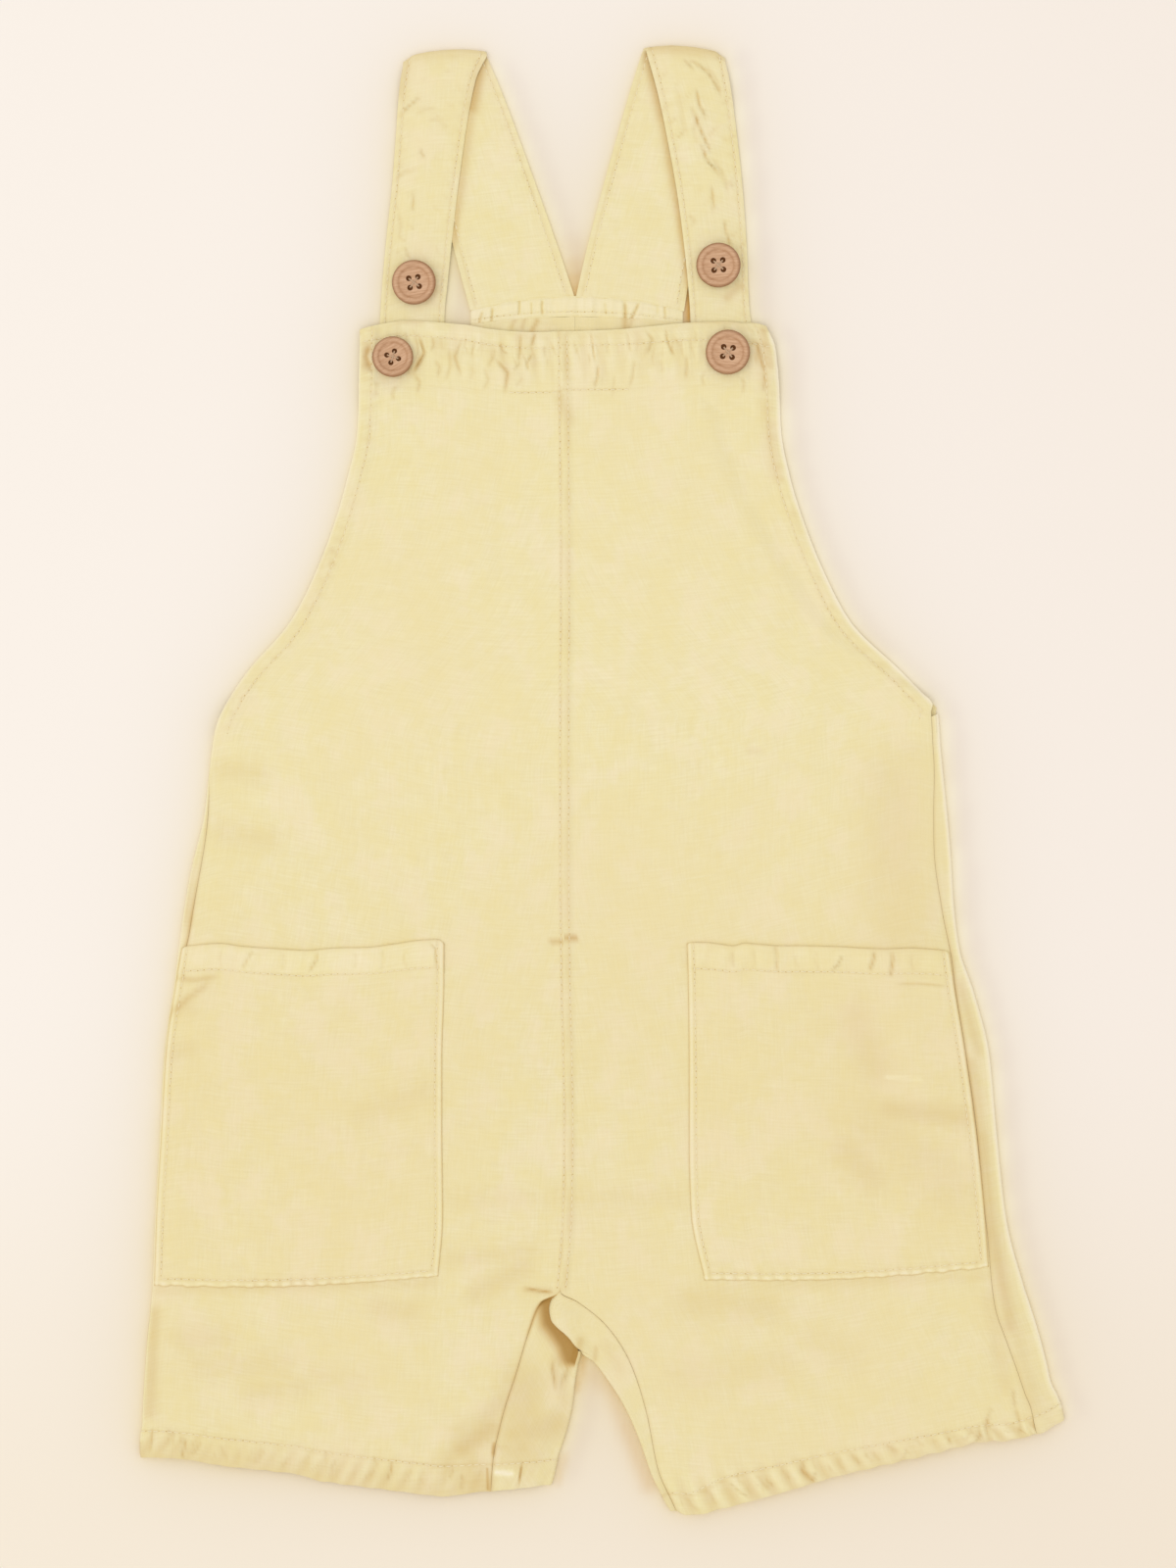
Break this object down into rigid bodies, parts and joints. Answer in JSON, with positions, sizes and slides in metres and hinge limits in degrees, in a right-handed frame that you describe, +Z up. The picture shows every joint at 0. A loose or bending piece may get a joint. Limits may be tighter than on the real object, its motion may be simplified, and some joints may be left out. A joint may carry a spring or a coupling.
{
  "type": "baby dungaree shorts",
  "caption": "Baby dungaree shorts in pale yellow linen with patch pockets, a casing at the back and button-on straps, laid flat with the front up",
  "frame": {"origin": "on the floor under the middle of the garment's outline", "axes": "+Y points to the shoulders, +Z up from the floor to the garment's front, +X to the right of the garment as it is seen from above"},
  "size_m": [0.3148, 0.4992, 0.0074],
  "materials": {
    "linen": "matt plain-weave linen with slubs",
    "button_wood": "smooth oiled wood"
  },
  "bodies": {
    "root": {"front_left": "linen", "front_right": "linen", "back_left": "linen", "back_right": "linen", "back_casing": "linen", "pocket_left": "linen", "pocket_right": "linen", "strap_left": "linen", "strap_right": "linen", "button_bib_left": "button_wood", "button_bib_right": "button_wood", "button_strap_left": "button_wood", "button_strap_right": "button_wood"}
  },
  "joints": []
}
